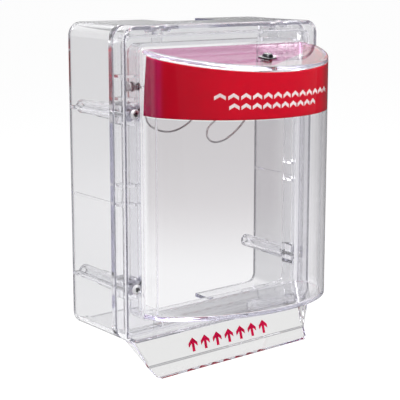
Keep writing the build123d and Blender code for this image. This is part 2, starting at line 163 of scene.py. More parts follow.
def revolved(radii, heights, columns, radiusAt=None, heightAt=None):
    # a profile turned about its own z; radiusAt and heightAt may change it with the angle
    angle = np.linspace(0, 2 * np.pi, columns, endpoint=False)
    radius = np.asarray(radii, float)[:, None] * np.ones(columns)
    height = np.asarray(heights, float)[:, None] * np.ones(columns)
    if radiusAt is not None:
        radius = radiusAt(radius, height, angle[None, :])
    if heightAt is not None:
        height = heightAt(radius, height, angle[None, :])
    return np.stack([radius * np.cos(angle), radius * np.sin(angle), height], axis=-1)


def ramp(value, low, high):
    share = np.clip((value - low) / (high - low), 0, 1)
    return share * share * (3 - 2 * share)


# The tether cable
# The route's own points, out from the anchor and round to the cap
cableRoute = [
    (-72.3, 65.5, 76.0), (-67.6, 65.5, 76.0), (-63.4, 65.2, 73.8),
    (-61.2, 64.4, 69.6), (-61.3, 63.4, 64.8), (-64.6, 62.6, 59.6),
    (-68.3, 62.6, 53.2), (-68.3, 66.3, 46.6), (-64.6, 72.4, 42.4),
    (-59.4, 78.2, 41.1), (-53.4, 83.5, 43.2), (-47.0, 87.7, 48.2),
    (-41.4, 90.7, 54.8), (-36.8, 92.9, 62.2), (-32.4, 94.9, 69.6),
    (-26.6, 97.6, 75.6), (-19.8, 102.0, 77.6), (-14.8, 105.6, 73.0),
    (-15.6, 106.6, 65.6), (-20.6, 105.4, 59.4), (-27.0, 103.2, 54.6),
    (-33.8, 101.6, 50.0), (-40.6, 102.4, 45.2), (-45.2, 107.0, 40.0),
    (-45.4, 114.0, 36.0), (-40.4, 119.8, 37.2), (-33.6, 122.8, 42.0),
    (-26.4, 124.0, 48.2), (-19.2, 123.8, 55.4), (-12.4, 122.0, 63.2),
    (-5.8, 118.6, 70.8), (0.0, 115.01, 79.1), (0.0, 116.26, 87.0),
]
cableSet = {
    "radius": 0.75 * mm,
    "strands": 6,
    "lay": 9.0 * mm,
    "ringSides": 8,
    "step": 0.55 * mm,
}


def smoothLine(route, step):
    # points along the route's own NURBS line, read from a bare curve and spaced evenly
    data = bpy.data.curves.new("cableLine", "CURVE")
    data.dimensions = "3D"
    data.resolution_u = 24
    spline = data.splines.new("NURBS")
    spline.points.add(len(route) - 1)
    flat = [(x * mm, -depth * mm, z * mm, 1.0) for x, depth, z in route]
    spline.points.foreach_set("co", np.array(flat, np.float32).ravel())
    spline.order_u = 3
    spline.use_endpoint_u = True
    holder = bpy.data.objects.new("cableLine", data)
    bare = bpy.data.meshes.new_from_object(holder)
    line = np.zeros(len(bare.vertices) * 3)
    bare.vertices.foreach_get("co", line)
    line = line.reshape(-1, 3)
    bpy.data.objects.remove(holder)
    bpy.data.meshes.remove(bare)
    along = np.concatenate([[0], np.cumsum(np.linalg.norm(np.diff(line, axis=0), axis=1))])
    at = np.linspace(0, along[-1], int(along[-1] / step) + 1)
    return np.stack([np.interp(at, along, line[:, k]) for k in range(3)], axis=1), at


def carriedFrames(line):
    # a side direction at each point, carried along so that it never twists
    tangent = np.gradient(line, axis=0)
    tangent /= np.linalg.norm(tangent, axis=1)[:, None]
    side = np.cross(tangent[0], (0.0, 0.31, 0.95))
    side /= np.linalg.norm(side)
    sides = [side]
    for direction in tangent[1:]:
        side = side - direction * (side @ direction)
        side = side / np.linalg.norm(side)
        sides.append(side)
    sides = np.array(sides)
    return tangent, sides, np.cross(tangent, sides)


cableLine, cableAlong = smoothLine(cableRoute, cableSet["step"])
alongDir, sideDir, upDir = carriedFrames(cableLine)


def strandForm(radius, offset, phase):
    # one strand: a round tube whose centre circles the cable's line once per lay length
    spin = 2 * np.pi * cableAlong / cableSet["lay"] + phase
    out = sideDir * np.cos(spin)[:, None] + upDir * np.sin(spin)[:, None]
    across = -sideDir * np.sin(spin)[:, None] + upDir * np.cos(spin)[:, None]
    centre = cableLine + out * offset
    pull = 2 * np.pi * offset / cableSet["lay"]
    binormal = across - alongDir * pull
    binormal /= np.linalg.norm(binormal, axis=1)[:, None]
    angle = np.linspace(0, 2 * np.pi, cableSet["ringSides"], endpoint=False)
    ring = centre[:, None] + radius * (
        out[:, None] * np.cos(angle)[None, :, None] + binormal[:, None] * np.sin(angle)[None, :, None]
    )
    return closedGrid(ring)


strandRadius = cableSet["radius"] / 3
strandForms = [strandForm(strandRadius, 0.0, 0.0)]
for strand in range(cableSet["strands"]):
    phase = 2 * np.pi * strand / cableSet["strands"]
    strandForms.append(strandForm(strandRadius, 2 * strandRadius, phase))
tetherCable = meshPiece("tetherCable", *joinForms(strandForms))


# Shader graph helpers
class Value:
    def __init__(self, graph, socket):
        self.graph = graph
        self.socket = socket

    def __add__(self, other):
        return self.graph.math("ADD", self, other)

    def __radd__(self, other):
        return self.graph.math("ADD", other, self)

    def __sub__(self, other):
        return self.graph.math("SUBTRACT", self, other)

    def __rsub__(self, other):
        return self.graph.math("SUBTRACT", other, self)

    def __mul__(self, other):
        return self.graph.math("MULTIPLY", self, other)

    def __rmul__(self, other):
        return self.graph.math("MULTIPLY", other, self)

    def __truediv__(self, other):
        return self.graph.math("DIVIDE", self, other)

    def __rtruediv__(self, other):
        return self.graph.math("DIVIDE", other, self)

    def __neg__(self):
        return self.graph.math("MULTIPLY", self, -1.0)

    def __abs__(self):
        return self.graph.math("ABSOLUTE", self)

    def __mod__(self, other):
        return self.graph.math("FLOORED_MODULO", self, other)

    def __gt__(self, other):
        return self.graph.math("GREATER_THAN", self, other)

    def __lt__(self, other):
        return self.graph.math("LESS_THAN", self, other)


class Graph:
    def __init__(self, name, world=False):
        if world:
            self.owner = bpy.data.worlds.new(name)
        else:
            self.owner = bpy.data.materials.new(name)
        self.owner.use_nodes = True
        self.tree = self.owner.node_tree
        self.tree.nodes.clear()

    def put(self, kind, settings=None, inputs=None):
        made = self.tree.nodes.new(kind)
        for key, value in (settings or {}).items():
            setattr(made, key, value)
        for key, value in (inputs or {}).items():
            self.join(made.inputs[key], value)
        return made

    def join(self, socket, value):
        if isinstance(value, Value):
            self.tree.links.new(value.socket, socket)
        else:
            socket.default_value = value

    def get(self, kind, settings=None, inputs=None, output=0):
        return Value(self, self.put(kind, settings, inputs).outputs[output])

    def math(self, operation, first, second=None, third=None):
        inputs = {0: first}
        if second is not None:
            inputs[1] = second
        if third is not None:
            inputs[2] = third
        return self.get("ShaderNodeMath", {"operation": operation}, inputs)

    def least(self, first, second):
        return self.math("MINIMUM", first, second)

    def most(self, first, second):
        return self.math("MAXIMUM", first, second)

    def step(self, value, low, high):
        # a smooth step from 0 at low to 1 at high
        settings = {"interpolation_type": "SMOOTHSTEP"}
        return self.get("ShaderNodeMapRange", settings, {"Value": value, "From Min": low, "From Max": high})

    def colourMix(self, share, first, second):
        inputs = {"Factor": share, 6: first, 7: second}
        return self.get("ShaderNodeMix", {"data_type": "RGBA"}, inputs, 2)

    def place(self):
        # the object coordinates, which are metres in the shared frame
        return self.get("ShaderNodeTexCoord", {}, {}, "Object")

    def parts(self, vector):
        split = self.put("ShaderNodeSeparateXYZ", {}, {0: vector})
        return [Value(self, split.outputs[k]) for k in range(3)]

    def stretched(self, vector, scale):
        return self.get("ShaderNodeVectorMath", {"operation": "MULTIPLY"}, {0: vector, 1: scale})

    def noise(self, vector, scale, detail=2.0, roughness=0.5):
        inputs = {"Vector": vector, "Scale": scale, "Detail": detail, "Roughness": roughness}
        return self.get("ShaderNodeTexNoise", {}, inputs, 0)

    def bump(self, height, strength, distance):
        return self.get("ShaderNodeBump", {}, {"Height": height, "Strength": strength, "Distance": distance})

    def surface(self, shader):
        finish = self.put("ShaderNodeOutputMaterial")
        self.tree.links.new(shader.socket, finish.inputs["Surface"])
        return finish


# Materials
domeRise = apexDepth - cornerDepth
domeArc = (domeHalf ** 2 + domeRise ** 2) / (2 * domeRise)
# painted shade and light on the spacer: greyer wall feet, paler roof, floor and posts, and a dark line of
# shade along the rear edge
spacerPaintedShade = {
    "span": (-0.0016, -0.0004), "colour": (0.14, 0.14, 0.16, 1), "low": -0.085, "high": 0.015,
    "foot": (0.765, 0.765, 0.775, 1), "plate": 0.1185,
    "roof": (0.95, 0.95, 0.957, 1), "post": (0.985, 0.985, 0.995, 1),
}
# painted shade on the lip: a dimmer lip and a dark line along its crease
lipPaintedShade = {
    "from": -0.1195, "to": -0.1205, "body": (0.765, 0.765, 0.76, 1),
    "crease": -0.1414, "line": (0.16, 0.16, 0.18, 1),
}
# painted shade and light on the dome: grey gradients, paler bands and a dark edge where the dome is seen edge
# on
domePaintedShade = {
    "foot": -0.068, "waist": 0.003, "band": 0.055, "plate": -0.092, "facing": (0.60, 0.80), "share": 0.88,
    "right": (-0.020, 0.006), "even": (0.90, 0.895, 0.905, 1),
    "low": (0.875, 0.872, 0.882, 1), "high": (0.70, 0.678, 0.693, 1), "top": (0.96, 0.95, 0.95, 1),
    "base": (0.98, 0.98, 0.985, 1), "edge": (0.42, 0.41, 0.43, 1),
}
# a painted reflection of the red band in the cap: mauve, darker at the back, pale beyond a slanting line
capPaintedReflection = {
    "under": 0.0036, "slope": 0.54, "line": 0.1378, "soft": 0.003,
    "arc": domeArc - 0.0045, "middle": apexDepth - domeArc,
    "pink": (0.57, 0.06, 0.24, 1), "deep": (0.42, 0.02, 0.13, 1), "pale": (0.82, 0.68, 0.74, 1),
    "facing": (0.55, 0.80),
}


def postDistance(g, across, up):
    # distance from the axis of the nearest screw post
    besides = abs(across) - postPlaces[-1][0]
    above = g.least(abs(up - postPlaces[0][1]), abs(up - postPlaces[1][1]))
    return g.math("SQRT", besides * besides + above * above)


def spacerPaintedShading(g, place, tint):
    # painted shade and light: side walls greyer low down, paler floor, roof and posts, and a painted dark
    # line of shade along the rear edge
    across, depth, up = g.parts(place)
    side = g.colourMix(g.step(up, spacerPaintedShade["low"], spacerPaintedShade["high"]), spacerPaintedShade["foot"], tint)
    level = g.step(abs(up), spacerPaintedShade["plate"] - 0.002, spacerPaintedShade["plate"])
    whole = g.colourMix(level, side, spacerPaintedShade["roof"])
    post = 1.0 - g.step(postDistance(g, across, up), 0.0066, 0.0078)
    whole = g.colourMix(post, whole, spacerPaintedShade["post"])
    return g.colourMix(g.step(depth, *spacerPaintedShade["span"]), whole, spacerPaintedShade["colour"])


def coverPaintedShading(g, place, tint):
    # painted shade: the dome is greyer in its upper left half and dark where seen edge on; the lip and its
    # crease are dimmer, also as painted shade
    across, depth, up = g.parts(place)
    out = -depth
    height = g.step(up, domePaintedShade["foot"], domePaintedShade["waist"])
    dome = g.colourMix(height, domePaintedShade["low"], domePaintedShade["high"])
    dome = g.colourMix(g.step(across, *domePaintedShade["right"]), dome, domePaintedShade["even"])
    dome = g.colourMix(g.step(up, domePaintedShade["band"] - 0.001, domePaintedShade["band"]), dome, domePaintedShade["top"])
    facing = g.get("ShaderNodeLayerWeight", {}, {"Blend": 0.5}, "Facing")
    dome = g.colourMix(g.step(facing, *domePaintedShade["facing"]) * domePaintedShade["share"], dome, domePaintedShade["edge"])
    dome = g.colourMix(g.step(up, domePaintedShade["plate"] - 0.003, domePaintedShade["plate"]), domePaintedShade["base"], dome)
    base = g.colourMix(g.step(out, faceDepth + 0.0015, faceDepth + 0.006), tint, dome)
    base = g.colourMix(1.0 - g.step(up, lipPaintedShade["to"], lipPaintedShade["from"]), base, lipPaintedShade["body"])
    # a painted dark line of shade along the lip's crease
    crease = 1.0 - g.step(abs(up - lipPaintedShade["crease"]), 0.0001, 0.0005)
    base = g.colourMix(crease * 0.9, base, lipPaintedShade["line"])
    # a tint that stands for the red band mirrored in the cap, shown only where the cap is seen along its
    # surface: mauve from the left up to a slanting line, darker at the back
    cap = up + (out - faceDepth) * topFall
    inCap = g.step(cap, domeTop - capPaintedReflection["under"], domeTop - capPaintedReflection["under"] + 0.0004)
    line = out + across * capPaintedReflection["slope"]
    left = 1.0 - g.step(line, capPaintedReflection["line"], capPaintedReflection["line"] + capPaintedReflection["soft"])
    inner = g.step(out, faceDepth + 0.0012, faceDepth + 0.0024)
    dark = 1.0 - g.step(out, faceDepth + 0.0024, faceDepth + 0.0055)
    arc = g.math("SQRT", across * across + (out - capPaintedReflection["middle"]) * (out - capPaintedReflection["middle"]))
    inner = inner * (1.0 - g.step(arc, capPaintedReflection["arc"] - 0.0008, capPaintedReflection["arc"]))
    pink = g.colourMix(dark, capPaintedReflection["pink"], capPaintedReflection["deep"])
    pale = g.colourMix(left, capPaintedReflection["pale"], pink)
    cloud = g.noise(place, 45.0, 3.0, 0.5)
    shown = inCap * inner * g.step(facing, *capPaintedReflection["facing"])
    return g.colourMix(shown * (0.9 + cloud * 0.2), base, pale)


def clearPlastic(name, look):
    # moulded clear plastic: faint flow lines and orange peel in the gloss, slight tint
    g = Graph(name)
    place = g.place()
    flow = g.noise(g.stretched(place, look["flow"]), 60.0, 3.0, 0.55)
    peel = g.noise(place, 420.0, 2.0, 0.5)
    haze = g.step(g.noise(place, 38.0, 4.0, 0.6), 0.45, 0.75)
    rough = look["rough"] + haze * look["haze"] + flow * look["haze"] * 0.5
    height = flow * 0.7 + peel * 0.3
    # the base colour takes painted shade and light from the look's shading function where it has one
    shader = g.get("ShaderNodeBsdfPrincipled", {}, {
        "Base Color": look["shade"](g, place, look["tint"]) if "shade" in look else look["tint"],
        "Roughness": rough,
        "IOR": look["ior"],
        "Transmission Weight": look["clear"],
        "Normal": g.bump(height, look["bump"], 0.0002),
    })
    finish = g.surface(shader)
    body = g.get("ShaderNodeVolumeAbsorption", {}, {"Color": look["depthTint"], "Density": look["density"]})
    g.tree.links.new(body.socket, finish.inputs["Volume"])
    return g.owner


clearLooks = {
    "spacerPlastic": {
        "tint": (0.865, 0.86, 0.872, 1), "shade": spacerPaintedShading, "clear": 0.97,
        "depthTint": (0.74, 0.73, 0.84, 1),
        "density": 14.0, "rough": 0.02, "haze": 0.04, "bump": 0.05, "ior": 1.5, "flow": (1.0, 0.3, 0.3)},
    "framePlastic": {
        "tint": (0.95, 0.95, 0.957, 1), "clear": 0.97, "depthTint": (0.74, 0.73, 0.84, 1),
        "density": 14.0, "rough": 0.02, "haze": 0.04, "bump": 0.04, "ior": 1.5, "flow": (0.3, 1.0, 0.3)},
    "coverPlastic": {
        "tint": (0.91, 0.908, 0.92, 1), "shade": coverPaintedShading, "clear": 1.0, "depthTint": (0.74, 0.73, 0.84, 1),
        "density": 10.0, "rough": 0.004, "haze": 0.01, "bump": 0.02, "ior": 1.5, "flow": (0.3, 0.3, 1.0)},
}
clearMaterials = {name: clearPlastic(name, look) for name, look in clearLooks.items()}


def ringRecessPaintedShade(g, place, shade):
    # frame screws: bright pan heads with a painted dark shade in the recess
    across, _, up = g.parts(place)
    return g.colourMix(g.step(postDistance(g, across, up), 0.0014, 0.0022), (0.07, 0.07, 0.07, 1), shade)


def capScrewPaintedShade(g, place, shade):
    # cap screw: a bright crown with a painted dark shade on its foot all round
    across, depth, _ = g.parts(place)
    along = depth + fastenerDepth
    radius = g.math("SQRT", across * across + along * along)
    return g.colourMix(g.step(radius, 0.0021, 0.0032), shade, (0.05, 0.05, 0.055, 1))


def washerEdgePaintedShade(g, place, shade):
    # washer: bright face, painted dark shade on its edges
    _, depth, up = g.parts(place)
    proud = up - (depth + faceDepth) * topFall - domeTop
    return g.colourMix(g.step(proud, 0.00080, 0.00094), (0.035, 0.035, 0.04, 1), shade)


def metal(name, look):
    # plated steel: fine brushing along one axis, soft cloudy plating and small dark specks
    g = Graph(name)
    place = g.place()
    brush = g.noise(g.stretched(place, look["brush"]), 900.0, 4.0, 0.6)
    cloud = g.noise(place, 160.0, 3.0, 0.6)
    speck = g.step(g.noise(place, 1400.0, 2.0, 0.5), 0.66, 0.8)
    shade = g.colourMix(cloud, look["dark"], look["light"])
    shade = g.colourMix(speck * 0.5, shade, look["spot"])
    # painted shade from the look's tone function, where it has one
    if "tone" in look:
        shade = look["tone"](g, place, shade)
    shader = g.get("ShaderNodeBsdfPrincipled", {}, {
        "Base Color": shade,
        "Metallic": 1.0,
        "Roughness": look["rough"] + brush * 0.18 + speck * 0.2,
        "Normal": g.bump(brush, look["bump"], 0.00005),
    })
    g.surface(shader)
    return g.owner


metalLooks = {
    "screwSteel": {
        "dark": (0.50, 0.50, 0.505, 1), "light": (0.78, 0.775, 0.765, 1), "spot": (0.26, 0.25, 0.25, 1),
        "rough": 0.22, "bump": 0.25, "brush": (1, 1, 1)},
    "ringSteel": {
        "dark": (0.72, 0.72, 0.72, 1), "light": (0.92, 0.92, 0.91, 1), "spot": (0.4, 0.4, 0.4, 1),
        "rough": 0.26, "bump": 0.2, "brush": (1, 1, 1), "tone": ringRecessPaintedShade},
    "capSteel": {
        "dark": (0.70, 0.70, 0.70, 1), "light": (0.92, 0.92, 0.91, 1), "spot": (0.3, 0.3, 0.3, 1),
        "rough": 0.2, "bump": 0.2, "brush": (1, 1, 1), "tone": capScrewPaintedShade},
    "washerSteel": {
        "dark": (0.66, 0.66, 0.665, 1), "light": (0.86, 0.855, 0.85, 1), "spot": (0.3, 0.3, 0.3, 1),
        "rough": 0.2, "bump": 0.2, "brush": (0.2, 1, 1), "tone": washerEdgePaintedShade},
    "crimpMetal": {
        "dark": (0.36, 0.36, 0.37, 1), "light": (0.6, 0.6, 0.6, 1), "spot": (0.14, 0.14, 0.14, 1),
        "rough": 0.3, "bump": 0.3, "brush": (1, 1, 0.3)},
    "strandSteel": {
        "dark": (0.42, 0.42, 0.43, 1), "light": (0.66, 0.66, 0.66, 1), "spot": (0.14, 0.14, 0.14, 1),
        "rough": 0.3, "bump": 0.2, "brush": (1, 1, 1)},
}
metals = {name: metal(name, look) for name, look in metalLooks.items()}


def chevronRow(g, across, up, row):
    # a row of chevrons pointing up: a slanted bar folded about the middle of each cell
    cell = (across - row["left"]) / row["pitch"]
    fold = abs(cell % 1.0 - 0.5) * row["pitch"]
    height = up - row["low"] - (row["half"] - fold) * row["slope"]
    inBar = (height > 0.0) * (height < row["thick"])
    inCell = fold < row["half"]
    inRow = (cell > 0.0) * (cell < row["cells"])
    return inBar * inCell * inRow


bandSet = {
    "red": (0.70, 0.0006, 0.021, 1),
    "mottleAndShadeRed": (0.54, 0.0006, 0.018, 1),
    "sidePaintedReflection": (0.52, 0.012, 0.11, 1),
    "print": (0.96, 0.93, 0.92, 1),
    "rows": [
        {
            "low": 0.0698, "slope": 0.72, "thick": 0.0027, "half": 0.0033,
            "pitch": 0.0080, "left": -0.0560, "cells": 13.0},
        {
            "low": 0.0625, "slope": 0.72, "thick": 0.0027, "half": 0.0032,
            "pitch": 0.0076, "left": -0.0473, "cells": 10.0},
    ],
}


def bandFilm():
    # printed red film: two rows of plain white chevrons, faint ink mottle and edge wear; painted shade
    # deepens the red towards the left and a painted reflection turns the sides magenta
    g = Graph("bandFilm")
    place = g.place()
    across, depth, up = g.parts(place)
    marks = None
    for row in bandSet["rows"]:
        mark = chevronRow(g, across, up, row)
        marks = mark if marks is None else g.most(marks, mark)
    along = -depth - (apexDepth - domeArc)
    arc = g.math("SQRT", across * across + along * along)
    front = g.step(arc, domeArc - wall - 0.00012, domeArc - wall - 0.00002)
    side = g.step(abs(across), 0.0770, 0.0788)
    mottle = g.noise(place, 220.0, 4.0, 0.6)
    # ink mottle, and a deeper red towards the left as painted shade
    shade = g.most(g.step(mottle, 0.35, 0.7) * 0.3, 1.0 - g.step(across, -0.085, -0.035))
    red = g.colourMix(shade, bandSet["red"], bandSet["mottleAndShadeRed"])
    # a painted reflection: the band's sides turn magenta
    red = g.colourMix(side * (0.55 + mottle * 0.4), red, bandSet["sidePaintedReflection"])
    worn = g.noise(place, 900.0, 3.0, 0.7)
    share = marks * front * (1.0 - g.step(worn, 0.66, 0.74) * 0.35)
    grain = g.noise(place, 1500.0, 2.0, 0.5)
    shader = g.get("ShaderNodeBsdfPrincipled", {}, {
        "Base Color": g.colourMix(share, red, bandSet["print"]),
        "Roughness": 0.3 + mottle * 0.1 + share * 0.1,
        "Specular IOR Level": 0.0,
        "Normal": g.bump(grain, 0.12, 0.00004),
    })
    g.surface(shader)
    return g.owner


bandMaterial = bandFilm()


def printInk(name, look):
    # screen-printed ink with a slightly uneven edge of colour and pin holes
    g = Graph(name)
    place = g.place()
    cloud = g.noise(place, 260.0, 4.0, 0.6)
    grain = g.noise(place, 1800.0, 2.0, 0.5)
    shader = g.get("ShaderNodeBsdfPrincipled", {}, {
        "Base Color": g.colourMix(g.step(cloud, 0.3, 0.7), look["base"], look["thin"]),
        "Roughness": 0.4 + grain * 0.15,
        "Specular IOR Level": 0.1,
        "Normal": g.bump(grain, 0.15, 0.00003),
    })
    g.surface(shader)
    return g.owner


crimsonInk = printInk("crimsonInk", {"base": (0.78, 0.003, 0.065, 1), "thin": (0.84, 0.008, 0.085, 1)})
print("stage: materials")


def dress(piece, material, body, replaced=()):
    piece.data.materials.clear()
    piece.data.materials.append(material)
    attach(piece, body)
    if replaced:
        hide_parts(*replaced)
    return piece


def dressNode(name, material):
    node = nodes[name]
    node.data.materials.clear()
    node.data.materials.append(material)
    return node


tetherCable.data.materials.append(metals["strandSteel"])
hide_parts("tether_cable")
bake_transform(tetherCable)

dressNode("wall_spacer", clearMaterials["spacerPlastic"])
dressNode("mounting_frame", clearMaterials["framePlastic"])
dressNode("cover_shell", clearMaterials["coverPlastic"])

# The red band
bandShape = {
    "bottom": 0.055, "topGap": 0.0012, "endTop": 0.0799, "endBottom": 0.0746,
    "bite": 0.00006, "thick": 0.0003, "planR": 0.005, "up": 26, "straight": 14, "turn": 10, "arc": 150,
}


def planLine(inset, endDepth):
    # the dome's plan drawn in by an inset: a straight side, a corner arc and half of the wide arc
    middle = apexDepth - domeArc
    arcR, half, cornerR = domeArc - inset, domeHalf - inset, bandShape["planR"] - inset
    cornerMid = middle + math.sqrt((arcR - cornerR) ** 2 - (half - cornerR) ** 2)
    lean = math.atan2(half - cornerR, cornerMid - middle)
    side = np.linspace(endDepth, cornerMid, bandShape["straight"])[:-1]
    corner = np.linspace(np.pi / 2, lean, bandShape["turn"])[:-1]
    wide = np.linspace(lean, 0, bandShape["arc"] // 2 + 1)
    cornerX = half - cornerR + cornerR * np.sin(corner)
    x = np.concatenate([np.full(len(side), half), cornerX, arcR * np.sin(wide)])
    depth = np.concatenate([side, cornerMid + cornerR * np.cos(corner), middle + arcR * np.cos(wide)])
    return np.concatenate([x, -x[-2::-1]]), np.concatenate([depth, depth[-2::-1]])


def bandForm():
    # a thin sheet with one layer each side of its thickness, from the level foot to the sloping top
    layers = []
    for inset in (wall - bandShape["bite"], wall + bandShape["thick"]):
        rows = []
        for share in np.linspace(0, 1, bandShape["up"]):
            end = bandShape["endBottom"] + (bandShape["endTop"] - bandShape["endBottom"]) * share
            x, depth = planLine(inset, end)
            drop = (wall + bandShape["topGap"]) * math.hypot(1, topFall)
            top = domeTop - topFall * (depth - faceDepth) - drop
            z = bandShape["bottom"] + (top - bandShape["bottom"]) * share
            rows.append(np.stack([x, -depth, z], axis=1))
        layers.append(np.array(rows))
    loop = np.concatenate([layers[0], layers[1][::-1]])
    return closedGrid(np.swapaxes(loop, 0, 1))


redBand = meshPiece("redBand", *bandForm())
dress(redBand, bandMaterial, "cover", ["label_band"])
print("stage: mouldings dressed")


# Screws
def headForm(look):
    # pan head seen from above: a domed disc whose cross recess is pressed in along z
    rings = look["rings"]
    share = np.linspace(0.02, 1.0, rings)
    radius = look["radius"] * share
    top = look["height"] * (1 - 0.30 * share ** 2 - 0.34 * ramp(share, 0.78, 1.0))
    radii = np.concatenate([radius, [look["radius"]], [look["radius"] * 0.985]])
    heights = np.concatenate([top, [look["height"] * 0.12], [0.0]])

    def recess(radiusGrid, heightGrid, angle):
        x = radiusGrid * np.cos(angle + look["turn"])
        y = radiusGrid * np.sin(angle + look["turn"])
        long = np.maximum(abs(x), abs(y))
        short = np.minimum(abs(x), abs(y))
        arm = look["radius"] * look["arm"]
        slot = look["radius"] * look["slot"]
        inside = (1 - ramp(short, slot * 0.55, slot * 1.1)) * (1 - ramp(long, arm * 0.8, arm))
        taper = 1 - 0.45 * long / arm
        sunk = inside * np.clip(taper, 0, 1) * look["sink"] * look["height"]
        return heightGrid - sunk * (heightGrid > look["height"] * 0.2)

    grid = revolved(radii, heights, look["columns"], heightAt=recess)
    return closedGrid(grid)


def shankForm(look):
    # threaded shank: a rounded ridge winds down once per pitch and fades at both ends
    rows = int(look["length"] / look["pitch"] * 10)
    down = np.linspace(0, look["length"], rows)
    radii = np.full(rows, look["radius"])

    def thread(radiusGrid, heightGrid, angle):
        turns = (-heightGrid / look["pitch"] + angle / (2 * np.pi)) % 1.0
        ridge = 1 - abs(2 * turns - 1)
        fade = ramp(-heightGrid, look["plain"], look["plain"] + look["pitch"])
        point = ramp(look["length"] + heightGrid, 0, look["tip"])
        core = look["radius"] * (1 - look["cut"])
        threaded = core + (look["radius"] - core) * ramp(ridge, 0.1, 0.9)
        whole = radiusGrid * (1 - fade) + threaded * fade
        return whole * (0.35 + 0.65 * point)

    grid = revolved(radii, -down, look["columns"], radiusAt=thread)
    return closedGrid(grid[::-1])


def screwForm(head, shank):
    return joinForms([headForm(head), shankForm(shank)])


screwSet = {
    "head": {
        "radius": 4.0 * mm, "height": 2.5 * mm, "arm": 0.62, "slot": 0.17, "sink": 0.62,
        "turn": 0.5, "rings": 34, "columns": 96},
    "shank": {
        "radius": 1.98 * mm, "length": 19.6 * mm, "pitch": 1.45 * mm, "cut": 0.2,
        "plain": 4.0 * mm, "tip": 2.5 * mm, "columns": 32},
}
screwOne = screwForm(screwSet["head"], screwSet["shank"])
screwForms = []
for index, (x, z) in enumerate(postPlaces):
    lean = 0.35 + 0.9 * index
    screwForms.append(placed(screwOne, (x, -frameFace, z), (math.cos(lean), 0, math.sin(lean)), (0, -1, 0)))
frameScrews = meshPiece("frameScrews", *joinForms(screwForms))
dress(frameScrews, metals["ringSteel"], "base", ["frame_screws"])

capUp = np.array([0, -topFall, 1.0]) / math.hypot(1, topFall)
capPoint = np.array([0, -fastenerDepth, domeTop - topFall * (fastenerDepth - faceDepth)])
topScrewSet = {
    "head": {
        "radius": 4.15 * mm, "height": 2.7 * mm, "arm": 0.6, "slot": 0.17, "sink": 0.62,
        "turn": 0.3, "rings": 34, "columns": 96},
    "shank": {
        "radius": 1.98 * mm, "length": 9.0 * mm, "pitch": 0.8 * mm, "cut": 0.16,
        "plain": 1.0 * mm, "tip": 0.8 * mm, "columns": 32},
}
washerThick = 1.0 * mm
topScrewForm = screwForm(topScrewSet["head"], topScrewSet["shank"])
topScrew = meshPiece("topScrew", *placed(topScrewForm, capPoint + capUp * washerThick, (1, 0, 0), capUp))
dress(topScrew, metals["capSteel"], "cover", ["top_screw"])

anchorSet = {
    "head": {
        "radius": 3.3 * mm, "height": 2.2 * mm, "arm": 0.6, "slot": 0.17, "sink": 0.62,
        "turn": 0.2, "rings": 30, "columns": 80},
    "shank": {
        "radius": 1.48 * mm, "length": 6.7 * mm, "pitch": 0.5 * mm, "cut": 0.15,
        "plain": 2.0 * mm, "tip": 0.5 * mm, "columns": 28},
}
ringWall = 2.6 * mm
anchorForm = screwForm(anchorSet["head"], anchorSet["shank"])
anchorOrigin = anchorPlace - np.array([ringWall, 0, 0])
anchorScrew = meshPiece("anchorScrew", *placed(anchorForm, anchorOrigin, (0, 0, 1), (-1, 0, 0)))
dress(anchorScrew, metals["screwSteel"], "base", ["anchor_screw"])
print("stage: screws")


# The washer and the nuts
def plateForm(outline, hole, thick, edge):
    # a flat plate between an outer outline and a round hole, with small rounded rims
    columns = len(outline)
    angle = np.arctan2(outline[:, 1], outline[:, 0])
    inner = hole * np.stack([np.cos(angle), np.sin(angle)], axis=1)
    lengthOut = np.linalg.norm(outline, axis=1)[:, None]
    drawnIn = outline * (lengthOut - edge) / lengthOut
    widened = inner * (hole + edge) / hole
    rows = []
    for flat, height in (
        (inner, edge), (inner, thick - edge), (widened, thick), (drawnIn, thick),
        (outline, thick - edge), (outline, edge), (drawnIn, 0.0), (widened, 0.0),
    ):
        rows.append(np.concatenate([flat, np.full((columns, 1), height)], axis=1))
    grid = np.array(rows)
    quads = ringFaces(len(rows), columns, 0, True)
    return grid.reshape(-1, 3), quads[:, ::-1], np.zeros((0, 3), int)


def roundedSquare(side, corner, columns):
    # a superellipse-like square: the straight sides meet in arcs of the corner radius
    angle = np.linspace(0, 2 * np.pi, columns, endpoint=False)
    ray = np.stack([np.cos(angle), np.sin(angle)], axis=1)
    half = side / 2
    flat = half / np.abs(ray).max(axis=1)
    centre = half - corner
    folded = np.abs(ray)
    along = folded.sum(axis=1) * centre
    reach = along + np.sqrt(np.maximum(along ** 2 - 2 * centre ** 2 + corner ** 2, 0))
    tipPoint = folded * reach[:, None]
    inCorner = (tipPoint.min(axis=1) > centre)
    return ray * np.where(inCorner, reach, flat)[:, None]


washerSet = {"side": 10.8 * mm, "corner": 0.7 * mm, "hole": 2.1 * mm, "edge": 0.12 * mm, "turn": 19.0}
washerOutline = roundedSquare(washerSet["side"], washerSet["corner"], 160)
washerForm = plateForm(washerOutline, washerSet["hole"], washerThick, washerSet["edge"])
washerTurn = math.radians(washerSet["turn"])
washerAcross = (math.cos(washerTurn), math.sin(washerTurn), 0)
squareWasher = meshPiece("squareWasher", *placed(washerForm, capPoint, washerAcross, capUp), smooth=False)
dress(squareWasher, metals["washerSteel"], "cover", ["square_washer"])


